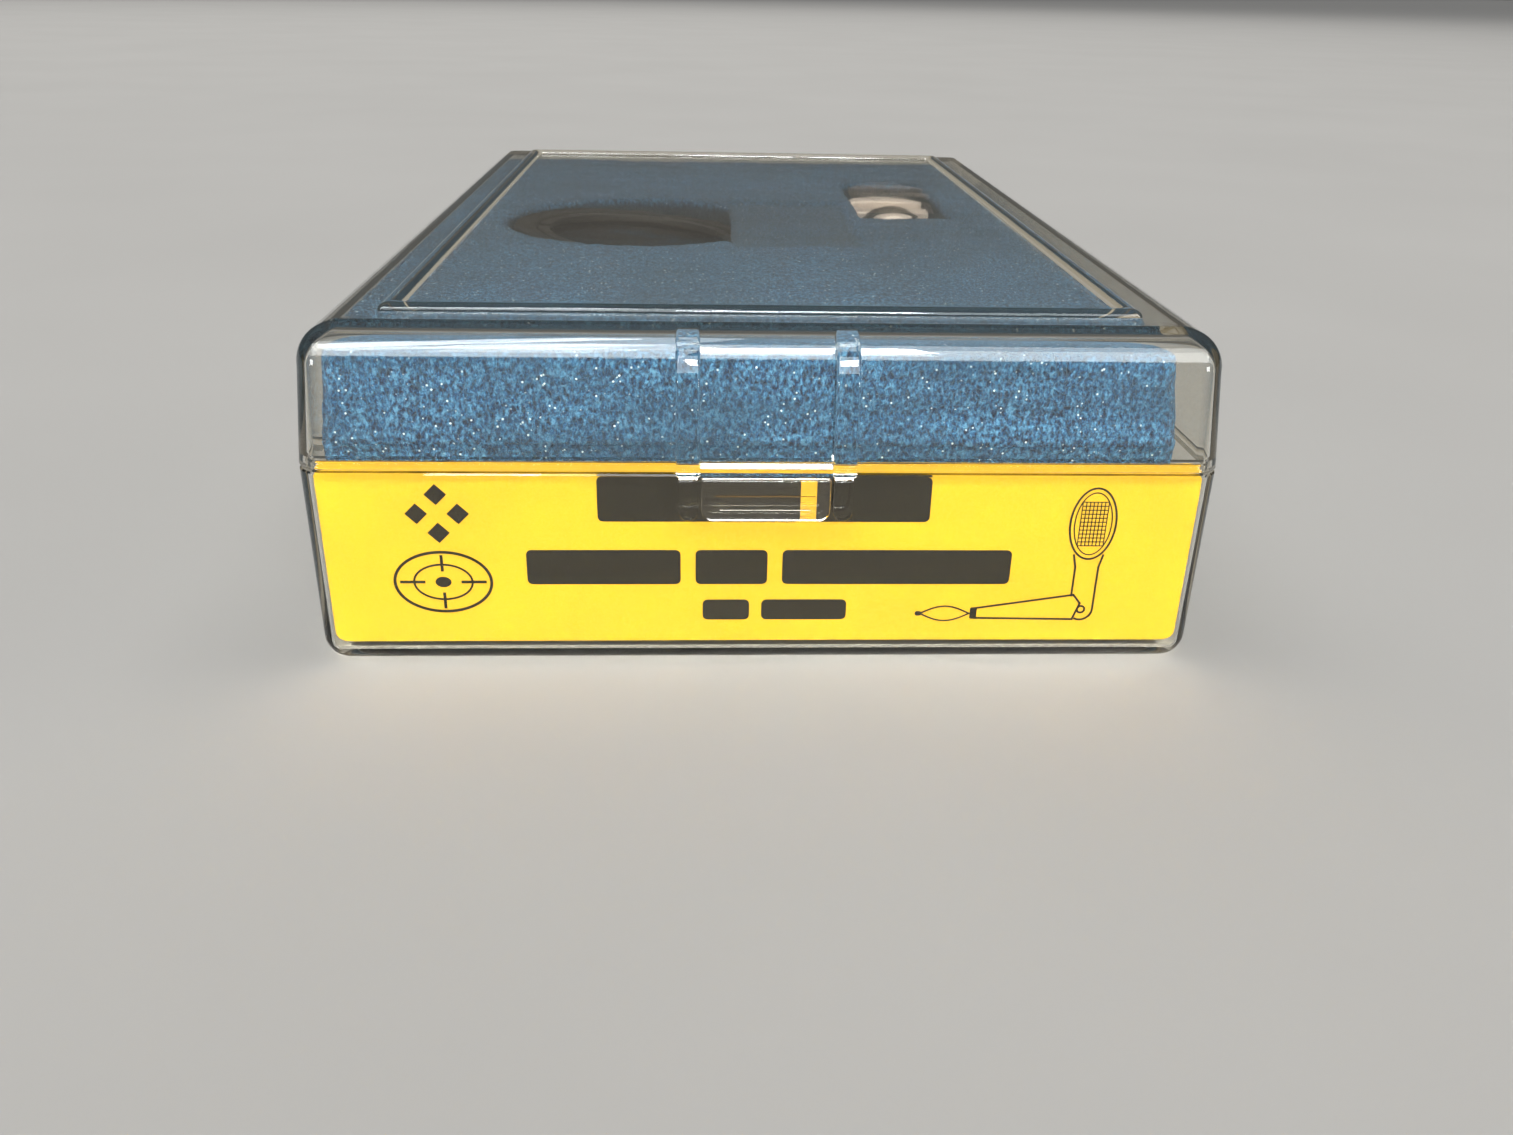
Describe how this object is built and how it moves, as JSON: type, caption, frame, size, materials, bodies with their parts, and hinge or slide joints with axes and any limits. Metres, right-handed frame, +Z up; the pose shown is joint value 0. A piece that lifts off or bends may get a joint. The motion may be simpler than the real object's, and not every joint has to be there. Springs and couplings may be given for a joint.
{
  "type": "clear hinged case with a muzzle sighting tool",
  "caption": "Clear hinged snap case with a foam tray that holds a round grid sighting plate and its tapered spring-tipped arbor.",
  "frame": {"origin": "bottom centre of the whole object's bounding box, on the surface the case stands on", "axes": "+X across the case to the right as seen from the latch, +Y from the latch at the front to the hinges at the back, +Z up"},
  "size_m": [0.102, 0.159, 0.0401],
  "materials": {
    "clear_plastic": "clear, slightly yellowed, glossy",
    "steel": "bright drawn",
    "printed_card": "coated, printed",
    "blue_foam": "open-cell foam",
    "black_plastic": "satin black",
    "smoked_window": "polished, dark",
    "diffuser": "frosted white",
    "alloy": "turned, satin",
    "spring_steel": "bright, fine grained"
  },
  "bodies": {
    "base": {"case_base": "clear_plastic", "hinge_pin_left": "steel", "hinge_pin_right": "steel", "label_card": "printed_card", "foam_base_layer": "blue_foam", "foam_middle_layer": "blue_foam", "foam_top_layer": "blue_foam", "sight_plate": "black_plastic", "upper_retaining_ring": "black_plastic", "window_glass": "smoked_window", "grid_screen": "black_plastic", "rear_diffuser": "diffuser", "lower_retaining_ring": "black_plastic", "arbor_body": "alloy", "neck_ring": "black_plastic", "arbor_boss": "alloy", "core_rod": "steel", "leaf_spring_left": "spring_steel", "leaf_spring_right": "spring_steel", "tip_ferrule": "black_plastic"},
    "lid": {"case_lid": "clear_plastic"},
    "latch": {"latch_tongue": "clear_plastic"},
    "screw": {"clamp_screw": "steel"}
  },
  "joints": [
    {"name": "lid_hinge", "type": "hinge", "parent": "base", "child": "lid", "pos_m": [0, 0.07694, 0.0239], "axis": [-1, 0, 0], "range_deg": [0, 105]},
    {"name": "latch_flex", "type": "hinge", "parent": "lid", "child": "latch", "pos_m": [0, -0.07866, 0.0239], "axis": [-1, 0, 0], "range_deg": [0, 7], "stiffness_Nm_per_rad": 0.2},
    {"name": "clamp_screw_turn", "type": "hinge", "parent": "base", "child": "screw", "pos_m": [0.027, 0.02054, 0.0282], "axis": [0, 0.9976, 0.0695], "range_deg": [-360, 360]}
  ]
}
